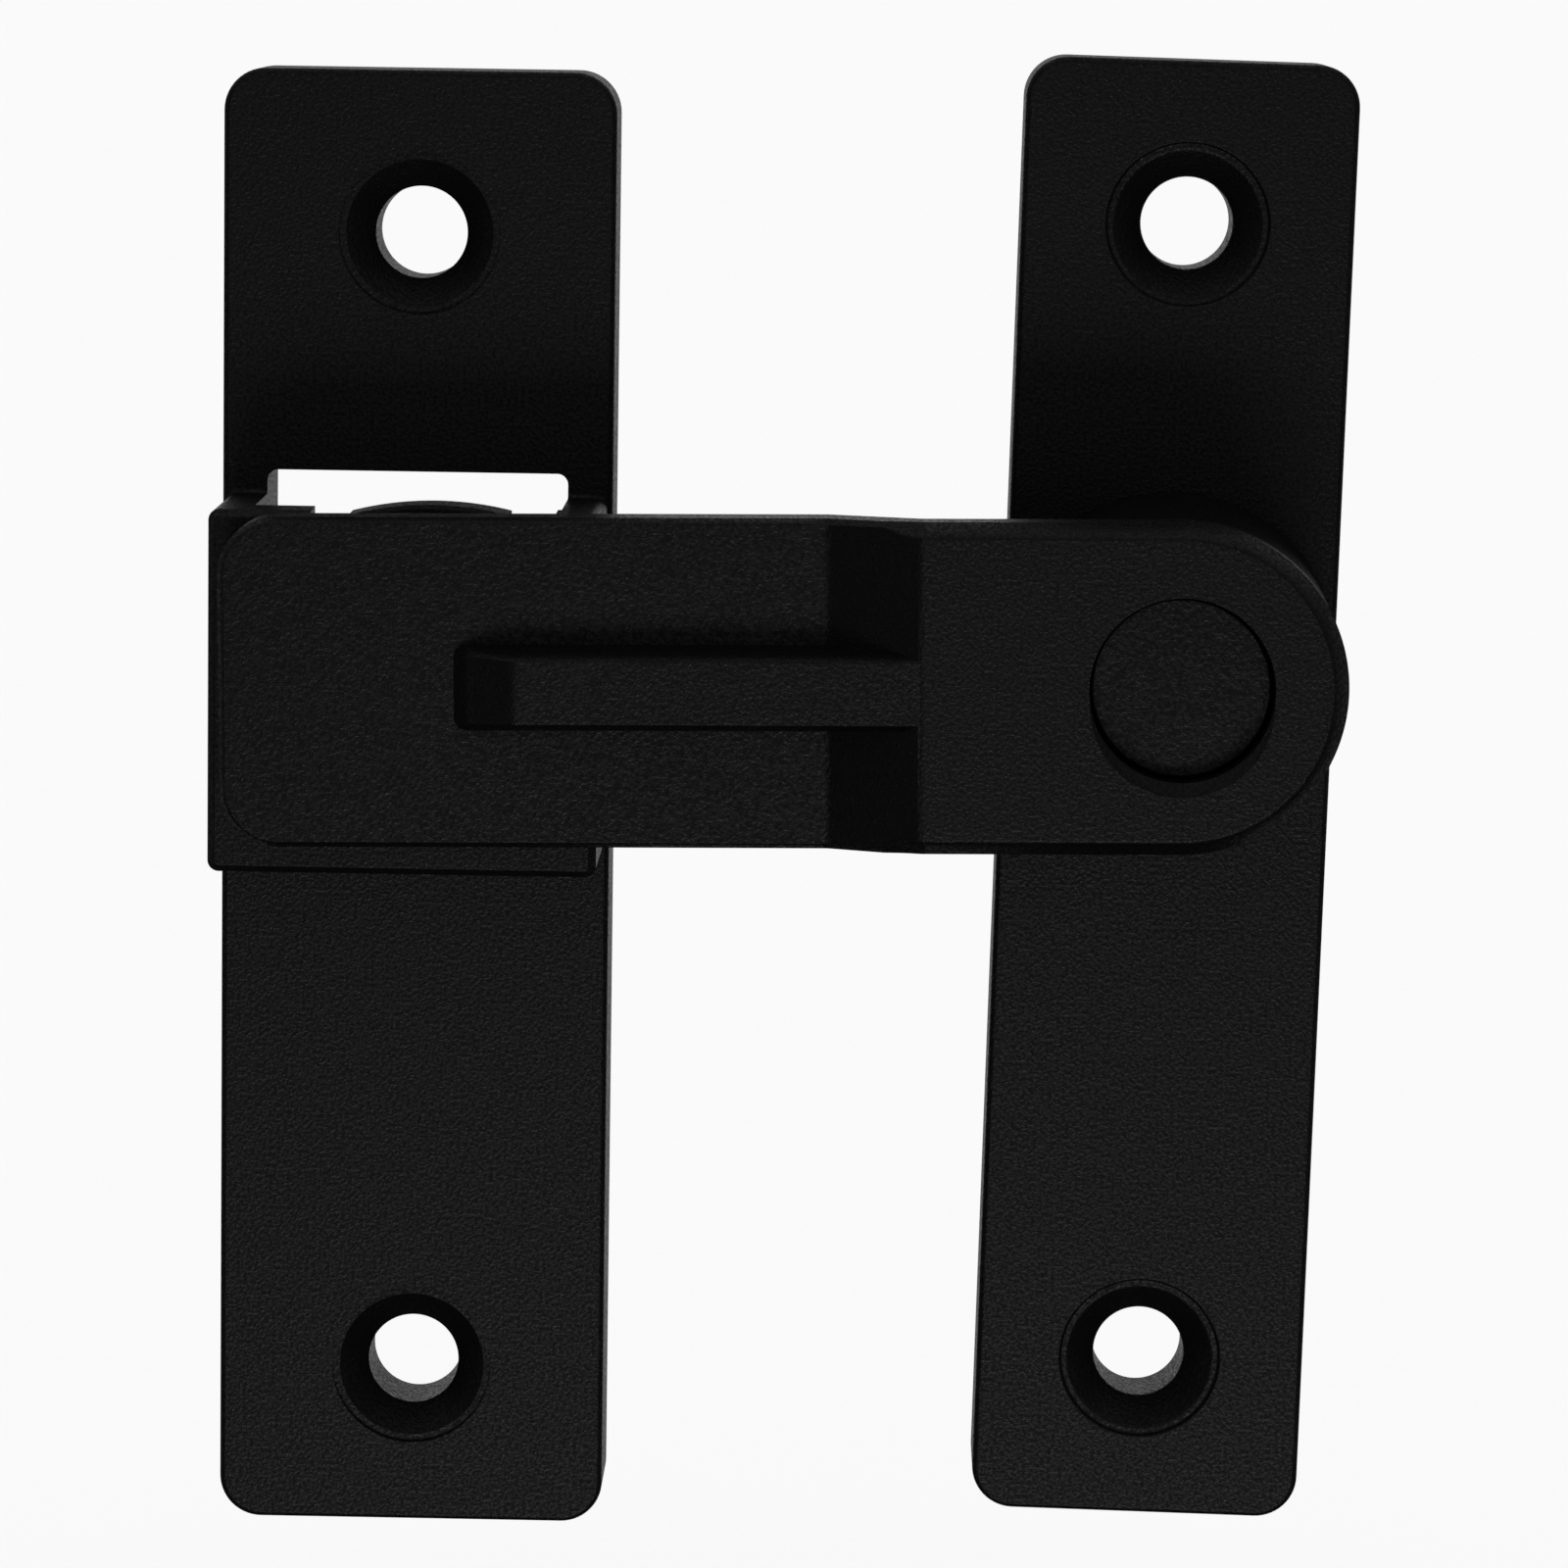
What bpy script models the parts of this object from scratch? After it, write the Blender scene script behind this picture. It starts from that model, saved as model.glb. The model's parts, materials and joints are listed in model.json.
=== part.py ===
"""Gravity gate latch, surface mounted, in closed position.

Two plates screw to the gate and to its post.  The pivot plate carries a round
spacer and a riveted shoulder pin, and the latch arm swings on that pin.  A hook
on the back of the arm drops through a notch in the keeper's box and sits behind
the box's front wall.

Frame: the origin is the centre of the pivot plate's back face, +Z is up, both
plates lie against the plane y = 0 and face -Y, and the keeper is on the -X side.
A "depth" is a distance in front of that plane, so a point at depth d has y = -d.
"""

import math

import bmesh
import bpy

MM = 0.001

# ---------------------------------------------------------------- both plates
PLATE_LENGTH = 80.3 * MM
PLATE_THICKNESS = 6.0 * MM
PLATE_CORNER = 2.3 * MM
EDGE = 0.35 * MM                    # rounding of a casting's front edges
SCREW_HOLE = 5.0 * MM               # diameter, for a 4 mm countersunk screw
SCREW_SEAT = 8.8 * MM               # diameter of the shallow seat round the countersink
SCREW_SEAT_DEPTH = 0.25 * MM
SCREW_SINK = 8.0 * MM               # diameter of the 90 degree countersink
SCREW_INSET = 8.8 * MM              # from the plate's end to the hole's axis
GAP = 0.3 * MM                      # kept between pieces that touch

# ---------------------------------------------------------------- pivot plate
PIVOT_WIDTH = 18.05 * MM
PIVOT_HEIGHT = 7.75 * MM            # pivot axis above the plate's centre
PIVOT_LEAN = math.radians(1.1)      # the plate's top leans towards +X
BURR_RECESS = 10.6 * MM             # diameter of the pocket for the rivet's tail
BURR_RECESS_DEPTH = 2.4 * MM

# --------------------------------------------------------------- keeper plate
KEEPER_WIDTH = 21.3 * MM
KEEPER_X = -41.0 * MM               # the keeper's centre
KEEPER_Z = -1.15 * MM
BOX_LEFT = -10.45 * MM              # the box, window and notch, from that centre
BOX_RIGHT = 10.35 * MM
BOX_BOTTOM = -2.4 * MM
BOX_TOP = 17.05 * MM
BOX_FRONT = 15.6 * MM               # depth of the box's front face
BOX_CORNER = 0.5 * MM
BOX_FRONT_WALL = 3.0 * MM
BOX_SIDE_WALL = 2.45 * MM
BOX_FLOOR = 3.0 * MM
WINDOW_TOP = 18.4 * MM              # the pocket's opening runs up through the plate
NOTCH_LEFT = -5.0 * MM              # notch in the front wall that the hook drops into
NOTCH_RIGHT = 8.0 * MM
NOTCH_FLOOR = 10.2 * MM
NOTCH_CORNER = 0.8 * MM

# ----------------------------------------------------------------- pivot stack
PIN_SHANK = 5.6 * MM                # diameters
PIN_HEAD = 9.4 * MM
PIN_TAIL = 4.0 * MM
PIN_PEEN = 7.2 * MM
PIN_HEAD_BACK = 18.8 * MM           # depths
PIN_HEAD_FRONT = 19.9 * MM
PIN_PEEN_BACK = 0.25 * MM
PIN_PEEN_FRONT = 1.0 * MM
PIN_BORE = PIN_SHANK + 2 * GAP
SPACER_FOOT = 18.2 * MM             # diameters at its two ends
SPACER_NOSE = 16.6 * MM
SPACER_BACK = PLATE_THICKNESS + GAP
SPACER_FRONT = 13.7 * MM
THRUST_DIAMETER = 14.0 * MM
THRUST_BACK = SPACER_FRONT + GAP
THRUST_FRONT = 14.5 * MM
BURR_BACK = PIN_PEEN_FRONT + GAP
BURR_FRONT = BURR_RECESS_DEPTH - GAP
BUSH_DIAMETER = 7.8 * MM
WAVE_DIAMETER = 9.3 * MM
WAVE_THICKNESS = 0.3 * MM
WAVE_COUNT = 3

# ------------------------------------------------------------------ latch arm
ARM_DROOP = math.radians(0.8)       # below level, where the hook sits in its notch
ARM_HALF = 8.75 * MM                # half the arm's height and its end's radius
ARM_END = -50.7 * MM                # free end, from the pivot axis
ARM_END_CORNER = 3.1 * MM
ARM_BACK = BOX_FRONT + GAP          # depths of the thin half
ARM_FRONT = 18.9 * MM
HUB_BACK = 18.2 * MM                # depths of the raised half
HUB_FRONT = 21.4 * MM
JOGGLE_START = -18.55 * MM
JOGGLE_END = -13.65 * MM
BOSS_BACK = THRUST_FRONT + GAP      # round boss on the back of the raised half
BOSS_DIAMETER = 16.4 * MM
ARM_BORE = BUSH_DIAMETER + 2 * GAP
HEAD_RECESS = 10.3 * MM             # diameter of the counterbore for the pin's head
HEAD_RECESS_FLOOR = 17.4 * MM
RIB_HALF = 2.3 * MM                 # at the rib's root
RIB_DRAFT = math.tan(math.radians(8.5))
RIB_FOOT = -38.25 * MM              # steep end of the rib, then a ramp up to its top
RIB_STEP = -37.3 * MM
RIB_STEP_FRONT = 20.3 * MM
RIB_TOP_START = -34.95 * MM
RIB_FRONT = HUB_FRONT - 0.05 * MM
RIB_CENTRE = -0.2 * MM

# ----------------------------------------------------------------- catch hook
HOOK_X = -40.0 * MM                 # the hook's centre line
HOOK_HALF = 4.3 * MM
HOOK_CROWN = 17.6 * MM              # radius of its crowned top
HOOK_TOP = 8.5 * MM                 # heights above the pivot axis, in the arm's frame
HOOK_NECK_BOTTOM = 2.25 * MM
HOOK_TIP = -2.0 * MM
HOOK_CORNER = 1.0 * MM
HOOK_TONGUE = 3.3 * MM              # thickness of the tongue behind the wall

ROUND_STEPS = 48                    # sides of a full circle
CORNER_STEPS = 5                    # sides of a quarter-round corner
EDGE_STEPS = 2                      # sides of a rounded edge


# ------------------------------------------------------------------- outlines
def arc(centre_x, centre_z, radius, start, end, steps):
    """Points on an arc, angles in degrees, anticlockwise from +X."""
    points = []
    for step in range(steps + 1):
        angle = math.radians(start + (end - start) * step / steps)
        points.append((centre_x + radius * math.cos(angle),
                       centre_z + radius * math.sin(angle)))
    return points


def rounded_rectangle(left, right, bottom, top, radius, steps=CORNER_STEPS):
    """Anticlockwise outline in (x, z) with four equal round corners."""
    points = []
    points += arc(right - radius, bottom + radius, radius, -90, 0, steps)
    points += arc(right - radius, top - radius, radius, 0, 90, steps)
    points += arc(left + radius, top - radius, radius, 90, 180, steps)
    points += arc(left + radius, bottom + radius, radius, 180, 270, steps)
    return points


def arm_outline():
    """Round about the pivot at +X, square with small corners at the free end."""
    corner = ARM_END_CORNER
    points = []
    points += arc(0, 0, ARM_HALF, -90, 90, ROUND_STEPS // 2)
    points += arc(ARM_END + corner, ARM_HALF - corner, corner, 90, 180, CORNER_STEPS)
    points += arc(ARM_END + corner, corner - ARM_HALF, corner, 180, 270, CORNER_STEPS)
    return points


def hook_outline(bottom, corner):
    """Crowned top, straight sides and two round lower corners."""
    half_angle = math.degrees(math.asin(HOOK_HALF / HOOK_CROWN))
    points = []
    points += arc(HOOK_X + HOOK_HALF - corner, bottom + corner, corner, -90, 0, CORNER_STEPS)
    points += arc(HOOK_X, HOOK_TOP - HOOK_CROWN, HOOK_CROWN,
                  90 - half_angle, 90 + half_angle, 8)
    points += arc(HOOK_X - HOOK_HALF + corner, bottom + corner, corner, 180, 270, CORNER_STEPS)
    return points


# --------------------------------------------------------------------- meshes
def close_rings(rings):
    """Mesh of the rings joined in order, with the first and last ring capped."""
    shape = bmesh.new()
    loops = [[shape.verts.new(point) for point in ring] for ring in rings]
    for lower, upper in zip(loops, loops[1:]):
        for index in range(len(lower)):
            after = (index + 1) % len(lower)
            shape.faces.new((lower[index], lower[after], upper[after], upper[index]))
    shape.faces.new(reversed(loops[0]))
    shape.faces.new(loops[-1])
    bmesh.ops.recalc_face_normals(shape, faces=shape.faces)
    return shape


def slab(outline, back, front):
    """The (x, z) outline extruded from one depth to another."""
    rings = [[(x, -depth, z) for x, z in outline] for depth in (back, front)]
    return close_rings(rings)


def soft_slab(outline_at, back, front):
    """A slab whose front edge is rounded; outline_at(inset) gives its outline."""
    layers = [(back, 0.0)]
    for step in range(EDGE_STEPS + 1):
        angle = math.radians(90.0 * step / EDGE_STEPS)
        layers.append((front - EDGE + EDGE * math.sin(angle), EDGE * (1 - math.cos(angle))))
    rings = [[(x, -depth, z) for x, z in outline_at(inset)] for depth, inset in layers]
    return close_rings(rings)


def side_prism(profile, bottom, top):
    """A profile of (x, depth) points, extruded from one height to another."""
    rings = [[(x, -depth, z) for x, depth in profile] for z in (bottom, top)]
    return close_rings(rings)


def turned(profile, steps=ROUND_STEPS):
    """Solid of revolution about the depth axis from a closed (radius, depth) loop.

    Points at radius zero lie on the axis and become a single vertex there.
    """
    shape = bmesh.new()
    columns = []
    on_axis = {}
    for step in range(steps):
        angle = 2 * math.pi * step / steps
        column = []
        for index, (radius, depth) in enumerate(profile):
            if radius == 0:
                if index not in on_axis:
                    on_axis[index] = shape.verts.new((0, -depth, 0))
                column.append(on_axis[index])
            else:
                place = (radius * math.cos(angle), -depth, radius * math.sin(angle))
                column.append(shape.verts.new(place))
        columns.append(column)
    for step in range(steps):
        here = columns[step]
        beside = columns[(step + 1) % steps]
        for index in range(len(profile)):
            after = (index + 1) % len(profile)
            corners = [here[index], here[after], beside[after], beside[index]]
            corners = list(dict.fromkeys(corners))
            if len(corners) > 2:
                shape.faces.new(corners)
    bmesh.ops.recalc_face_normals(shape, faces=shape.faces)
    return shape


def wavy_ring(inner, outer, middle, thickness, amplitude, steps=ROUND_STEPS):
    """A thin ring whose depth rises and falls in even waves round its axis."""
    shape = bmesh.new()
    columns = []
    for step in range(steps):
        angle = 2 * math.pi * step / steps
        centre = middle + amplitude * math.cos(WAVE_COUNT * angle)
        back = centre - thickness / 2
        front = centre + thickness / 2
        section = ((inner, back), (outer, back), (outer, front), (inner, front))
        columns.append([shape.verts.new((radius * math.cos(angle), -depth,
                                         radius * math.sin(angle)))
                        for radius, depth in section])
    for step in range(steps):
        here = columns[step]
        beside = columns[(step + 1) % steps]
        for index in range(4):
            after = (index + 1) % 4
            shape.faces.new((here[index], here[after], beside[after], beside[index]))
    bmesh.ops.recalc_face_normals(shape, faces=shape.faces)
    return shape


# -------------------------------------------------------------------- objects
def make_material(name, colour, roughness, metallic):
    material = bpy.data.materials.new(name)
    material.use_nodes = True
    shader = material.node_tree.nodes["Principled BSDF"]
    shader.inputs["Base Color"].default_value = (*colour, 1.0)
    shader.inputs["Roughness"].default_value = roughness
    shader.inputs["Metallic"].default_value = metallic
    material.diffuse_color = (*colour, 1.0)
    return material


def make_object(name, shape, material=None, parent=None):
    mesh = bpy.data.meshes.new(name)
    shape.to_mesh(mesh)
    shape.free()
    obj = bpy.data.objects.new(name, mesh)
    bpy.context.scene.collection.objects.link(obj)
    obj.parent = parent
    if material:
        mesh.materials.append(material)
        mesh.shade_smooth()
        mesh.set_sharp_from_angle(angle=math.radians(30))
    return obj


def make_empty(name, location, turn):
    """An empty at a joint or a plate's centre, turned about the Y axis."""
    empty = bpy.data.objects.new(name, None)
    empty.empty_display_size = 0.01
    empty.location = location
    empty.rotation_euler = (0.0, turn, 0.0)
    bpy.context.scene.collection.objects.link(empty)
    return empty


def combine(target, name, shape, operation, location=(0.0, 0.0, 0.0)):
    """Join a hidden tool shape to the target, or cut the target with it."""
    tool = make_object(name, shape, parent=target.parent)
    tool.location = location
    tool.hide_render = True
    tool.display_type = "WIRE"
    modifier = target.modifiers.new(name, "BOOLEAN")
    modifier.operation = operation
    modifier.solver = "EXACT"
    modifier.object = tool


def soften(target):
    """Round the sharp edges that the target has so far."""
    bevel = target.modifiers.new("edge", "BEVEL")
    bevel.width = EDGE
    bevel.segments = EDGE_STEPS
    bevel.limit_method = "ANGLE"
    bevel.angle_limit = math.radians(50)
    bevel.harden_normals = False


# ----------------------------------------------------------------- sub-parts
def screw_hole_cutter():
    """Through hole with a 90 degree countersink in a shallow round seat."""
    proud = 1.0 * MM
    hole = SCREW_HOLE / 2
    sink = SCREW_SINK / 2
    seat = SCREW_SEAT / 2
    seat_floor = PLATE_THICKNESS - SCREW_SEAT_DEPTH
    profile = [(0, -proud), (hole, -proud), (hole, seat_floor - (sink - hole)),
               (sink, seat_floor), (seat, seat_floor), (seat, PLATE_THICKNESS + proud),
               (0, PLATE_THICKNESS + proud)]
    return turned(profile)


def drill_screw_holes(plate):
    reach = PLATE_LENGTH / 2 - SCREW_INSET
    for name, height in (("upper", reach), ("lower", -reach)):
        combine(plate, f"{plate.name}_{name}_hole", screw_hole_cutter(), "DIFFERENCE",
                location=(0.0, 0.0, height))


def plate_shape(width):
    def outline_at(inset):
        return rounded_rectangle(inset - width / 2, width / 2 - inset,
                                 inset - PLATE_LENGTH / 2, PLATE_LENGTH / 2 - inset,
                                 PLATE_CORNER - inset)
    return soft_slab(outline_at, 0.0, PLATE_THICKNESS)


def box_shape():
    """Raised box of the keeper, solid, sunk into the plate's thickness."""
    def outline_at(inset):
        return rounded_rectangle(BOX_LEFT + inset, BOX_RIGHT - inset,
                                 BOX_BOTTOM + inset, BOX_TOP - inset, BOX_CORNER - inset)
    return soft_slab(outline_at, PLATE_THICKNESS / 2, BOX_FRONT)


def make_keeper_plate(material, frame):
    keeper = make_object("keeper_plate", plate_shape(KEEPER_WIDTH), material, frame)
    combine(keeper, "keeper_box", box_shape(), "UNION")
    half = KEEPER_WIDTH / 2 - BOX_SIDE_WALL
    proud = 1.0 * MM
    wall_back = BOX_FRONT - BOX_FRONT_WALL
    pocket = rounded_rectangle(-half, half, BOX_BOTTOM + BOX_FLOOR, WINDOW_TOP, BOX_CORNER)
    combine(keeper, "keeper_pocket", slab(pocket, -proud, wall_back), "DIFFERENCE")
    notch = rounded_rectangle(NOTCH_LEFT, NOTCH_RIGHT, NOTCH_FLOOR,
                              BOX_TOP + 2 * proud, NOTCH_CORNER)
    combine(keeper, "keeper_notch", slab(notch, wall_back - proud, BOX_FRONT + proud),
            "DIFFERENCE")
    drill_screw_holes(keeper)


def make_pivot_plate(material, frame):
    plate = make_object("pivot_plate", plate_shape(PIVOT_WIDTH), material, frame)
    drill_screw_holes(plate)
    proud = 1.0 * MM
    bore = PIN_BORE / 2
    recess = BURR_RECESS / 2
    profile = [(0, -proud), (recess, -proud), (recess, BURR_RECESS_DEPTH),
               (bore, BURR_RECESS_DEPTH), (bore, PLATE_THICKNESS + proud),
               (0, PLATE_THICKNESS + proud)]
    combine(plate, "pivot_plate_bore", turned(profile), "DIFFERENCE",
            location=(0.0, 0.0, PIVOT_HEIGHT))


def make_spacer(material, frame):
    """Slightly tapered sleeve that carries the arm clear of the keeper's box."""
    foot = SPACER_FOOT / 2
    nose = SPACER_NOSE / 2
    bore = PIN_BORE / 2
    profile = [(bore, SPACER_BACK), (foot, SPACER_BACK), (nose, SPACER_FRONT),
               (bore, SPACER_FRONT)]
    make_object("pivot_spacer", turned(profile), material, frame)


def make_washer(name, material, frame, inner, outer, back, front):
    profile = [(inner, back), (outer, back), (outer, front), (inner, front)]
    return make_object(name, turned(profile), material, frame)


def make_pivot_pin(material, frame):
    """Shoulder rivet: recessed round head, shank, and a tail peened over the burr."""
    shank = PIN_SHANK / 2
    head = PIN_HEAD / 2
    tail = PIN_TAIL / 2
    peen = PIN_PEEN / 2
    profile = [(0, PIN_PEEN_BACK), (peen - EDGE, PIN_PEEN_BACK), (peen, PIN_PEEN_BACK + EDGE),
               (peen, PIN_PEEN_FRONT), (tail, PIN_PEEN_FRONT), (tail, BURR_RECESS_DEPTH),
               (shank, BURR_RECESS_DEPTH), (shank, PIN_HEAD_BACK), (head, PIN_HEAD_BACK),
               (head, PIN_HEAD_FRONT - EDGE), (head - EDGE, PIN_HEAD_FRONT),
               (0, PIN_HEAD_FRONT)]
    make_object("pivot_pin", turned(profile), material, frame)


def make_wave_washer(material, frame):
    """Springs lightly between the arm and the pin's head, so the arm can't rattle."""
    back = HEAD_RECESS_FLOOR + GAP
    front = PIN_HEAD_BACK - GAP
    amplitude = (front - back - WAVE_THICKNESS) / 2
    shape = wavy_ring(PIN_BORE / 2, WAVE_DIAMETER / 2, (back + front) / 2,
                      WAVE_THICKNESS, amplitude)
    make_object("wave_washer", shape, material, frame)


def joggle_profile():
    """Arm seen from above, as (x, depth): it steps forward towards the hub."""
    margin = 2.0 * MM
    return [(ARM_END - margin, ARM_BACK), (JOGGLE_START, ARM_BACK), (JOGGLE_END, HUB_BACK),
            (ARM_HALF + margin, HUB_BACK), (ARM_HALF + margin, HUB_FRONT),
            (JOGGLE_END, HUB_FRONT), (JOGGLE_START, ARM_FRONT), (ARM_END - margin, ARM_FRONT)]


def rib_shape():
    """Stiffening rib with drafted sides, running into the raised half."""
    buried = 1.0 * MM
    profile = [(RIB_FOOT, ARM_FRONT - buried), (JOGGLE_END + buried, ARM_FRONT - buried),
               (JOGGLE_END + buried, RIB_FRONT), (RIB_TOP_START, RIB_FRONT),
               (RIB_STEP, RIB_STEP_FRONT), (RIB_FOOT, ARM_FRONT)]
    rings = []
    for side in (-1, 1):
        rings.append([(x, -depth,
                       RIB_CENTRE + side * (RIB_HALF - RIB_DRAFT * (depth - ARM_FRONT)))
                      for x, depth in profile])
    return close_rings(rings)


def make_latch_arm(material, frame):
    margin = 1.0 * MM
    arm = make_object("latch_arm", slab(arm_outline(), ARM_BACK - margin, HUB_FRONT + margin),
                      material, frame)
    profile = side_prism(joggle_profile(), -ARM_HALF - margin, ARM_HALF + margin)
    combine(arm, "arm_joggle", profile, "INTERSECT")
    soften(arm)
    combine(arm, "arm_rib", rib_shape(), "UNION")
    buried = (HUB_BACK + HEAD_RECESS_FLOOR) / 2 + margin
    boss = BOSS_DIAMETER / 2
    combine(arm, "arm_boss", turned([(0, BOSS_BACK), (boss, BOSS_BACK), (boss, buried),
                                     (0, buried)]), "UNION")
    bore = ARM_BORE / 2
    recess = HEAD_RECESS / 2
    cut = [(0, BOSS_BACK - margin), (bore, BOSS_BACK - margin), (bore, HEAD_RECESS_FLOOR),
           (recess, HEAD_RECESS_FLOOR), (recess, HUB_FRONT + margin), (0, HUB_FRONT + margin)]
    combine(arm, "arm_bore", turned(cut), "DIFFERENCE")


def make_catch_hook(material, frame):
    """Neck that fills the notch, and a tongue that hangs behind the front wall."""
    tongue_front = BOX_FRONT - BOX_FRONT_WALL - GAP
    tongue_back = tongue_front - HOOK_TONGUE
    hook = make_object("catch_hook",
                       slab(hook_outline(HOOK_TIP, HOOK_CORNER), tongue_back, tongue_front),
                       material, frame)
    neck = slab(hook_outline(HOOK_NECK_BOTTOM, HOOK_CORNER / 2),
                tongue_front - HOOK_TONGUE / 2, ARM_BACK - GAP)
    combine(hook, "hook_neck", neck, "UNION")


def main():
    for obj in list(bpy.data.objects):
        bpy.data.objects.remove(obj, do_unlink=True)

    black = make_material("black_powder_coat", (0.012, 0.012, 0.013), 0.55, 0.0)
    zinc = make_material("zinc_plated_steel", (0.55, 0.56, 0.58), 0.35, 1.0)
    spring = make_material("spring_steel", (0.28, 0.29, 0.31), 0.3, 1.0)
    acetal = make_material("white_acetal", (0.72, 0.71, 0.67), 0.45, 0.0)

    pivot = (PIVOT_HEIGHT * math.sin(PIVOT_LEAN), 0.0, PIVOT_HEIGHT * math.cos(PIVOT_LEAN))
    keeper_frame = make_empty("keeper_frame", (KEEPER_X, 0.0, KEEPER_Z), 0.0)
    plate_frame = make_empty("pivot_plate_frame", (0.0, 0.0, 0.0), PIVOT_LEAN)
    pin_frame = make_empty("pin_frame", pivot, PIVOT_LEAN)
    arm_frame = make_empty("arm_frame", pivot, -ARM_DROOP)

    make_keeper_plate(black, keeper_frame)
    make_pivot_plate(black, plate_frame)
    make_spacer(black, pin_frame)
    make_pivot_pin(black, pin_frame)
    make_washer("burr_washer", zinc, pin_frame, PIN_TAIL / 2 + GAP,
                BURR_RECESS / 2 - GAP, BURR_BACK, BURR_FRONT)
    make_washer("thrust_washer", acetal, pin_frame, PIN_BORE / 2,
                THRUST_DIAMETER / 2, THRUST_BACK, THRUST_FRONT)
    make_wave_washer(spring, pin_frame)

    make_latch_arm(black, arm_frame)
    make_catch_hook(black, arm_frame)
    make_washer("pivot_bush", acetal, arm_frame, PIN_BORE / 2,
                BUSH_DIAMETER / 2, BOSS_BACK + GAP / 2, HEAD_RECESS_FLOOR - GAP / 2)


main()
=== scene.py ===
"""Finished look of the gravity gate latch: fine meshes, powder coat, stage and camera.

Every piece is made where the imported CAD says, in metres, +Z up, fronts facing -Y.
A "depth" is a distance in front of the mounting plane, so depth d lies at y = -d.
"""

import json
import math

import bmesh
import bpy
from mathutils import Matrix, Vector


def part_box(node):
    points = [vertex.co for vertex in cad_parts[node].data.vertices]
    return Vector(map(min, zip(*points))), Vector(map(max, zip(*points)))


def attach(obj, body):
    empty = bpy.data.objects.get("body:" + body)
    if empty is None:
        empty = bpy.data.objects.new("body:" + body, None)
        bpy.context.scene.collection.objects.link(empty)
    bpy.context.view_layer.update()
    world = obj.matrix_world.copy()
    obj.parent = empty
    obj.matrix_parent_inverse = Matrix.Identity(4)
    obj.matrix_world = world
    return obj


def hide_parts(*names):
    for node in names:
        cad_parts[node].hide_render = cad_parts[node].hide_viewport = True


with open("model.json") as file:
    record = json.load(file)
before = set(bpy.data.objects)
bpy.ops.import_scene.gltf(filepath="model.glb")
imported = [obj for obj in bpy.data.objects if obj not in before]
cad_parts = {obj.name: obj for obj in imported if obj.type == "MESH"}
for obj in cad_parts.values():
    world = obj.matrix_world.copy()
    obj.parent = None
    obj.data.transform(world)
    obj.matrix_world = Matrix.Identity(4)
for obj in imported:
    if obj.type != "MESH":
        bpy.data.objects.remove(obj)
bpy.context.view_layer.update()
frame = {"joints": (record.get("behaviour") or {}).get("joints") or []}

MM = 0.001

# ------------------------------------------------------- sizes read off the frame
PIVOT = Vector(frame["joints"][0]["pos_m"])
KEEPER_LOW, KEEPER_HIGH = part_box("keeper_plate")
KEEPER_CENTRE = (KEEPER_LOW + KEEPER_HIGH) / 2
PLATE_LENGTH = KEEPER_HIGH.z - KEEPER_LOW.z
KEEPER_WIDTH = KEEPER_HIGH.x - KEEPER_LOW.x
BOX_FRONT = -KEEPER_LOW.y
PLATE_THICKNESS = -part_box("pivot_plate")[0].y
HUB_FRONT = -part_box("latch_arm")[0].y
BOSS_BACK = -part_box("latch_arm")[1].y
HEAD_FRONT = -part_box("pivot_pin")[0].y
TAIL_BACK = -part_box("pivot_pin")[1].y
SPACER_BACK = -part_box("pivot_spacer")[1].y
SPACER_FRONT = -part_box("pivot_spacer")[0].y
TONGUE_BACK = -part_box("catch_hook")[1].y

# ---------------------------------------------- sizes repeated from the CAD model
PIVOT_LEAN = math.radians(1.1)
ARM_DROOP = math.radians(0.8)
PIVOT_WIDTH = 18.05 * MM
PLATE_CORNER = 2.3 * MM
SCREW_HOLE = 5.0 * MM
SCREW_SEAT = 8.8 * MM
SCREW_SEAT_DEPTH = 0.25 * MM
SCREW_SINK = 8.0 * MM
SCREW_INSET = 8.8 * MM
BURR_RECESS = 10.6 * MM
BURR_RECESS_DEPTH = 2.4 * MM
BURR_CLEARANCE = 0.1 * MM
BOX_LEFT = -10.45 * MM
BOX_RIGHT = 10.35 * MM
BOX_BOTTOM = -2.4 * MM
BOX_TOP = 17.05 * MM
BOX_FRONT_WALL = 3.0 * MM
BOX_SIDE_WALL = 2.45 * MM
BOX_FLOOR = 3.0 * MM
WINDOW_TOP = 18.4 * MM
NOTCH_LEFT = -5.0 * MM
NOTCH_RIGHT = 8.0 * MM
NOTCH_FLOOR = 10.2 * MM
PIN_SHANK = 5.6 * MM
PIN_HEAD = 9.4 * MM
PIN_TAIL = 4.0 * MM
PIN_PEEN = 7.2 * MM
PIN_HEAD_BACK = 18.8 * MM
PIN_PEEN_FRONT = 1.0 * MM
PIN_BORE = 6.2 * MM
SPACER_FOOT = 18.2 * MM
SPACER_NOSE = 16.6 * MM
BUSH_DIAMETER = 7.8 * MM
WAVE_DIAMETER = 9.3 * MM
WAVE_THICKNESS = 0.3 * MM
WAVE_COUNT = 3
THRUST_DIAMETER = 14.0 * MM
ARM_HALF = 8.75 * MM
ARM_END = -50.7 * MM
ARM_END_CORNER = 3.1 * MM
ARM_BACK = 15.9 * MM
ARM_FRONT = 18.9 * MM
HUB_BACK = 18.2 * MM
JOGGLE_START = -18.55 * MM
JOGGLE_END = -13.65 * MM
BOSS_DIAMETER = 16.4 * MM
ARM_BORE = 8.4 * MM
HEAD_RECESS = 9.75 * MM
HEAD_RECESS_FLOOR = 17.4 * MM
RIB_HALF = 2.3 * MM
RIB_DRAFT = math.tan(math.radians(8.5))
RIB_FOOT = -38.25 * MM
RIB_STEP = -37.3 * MM
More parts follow.
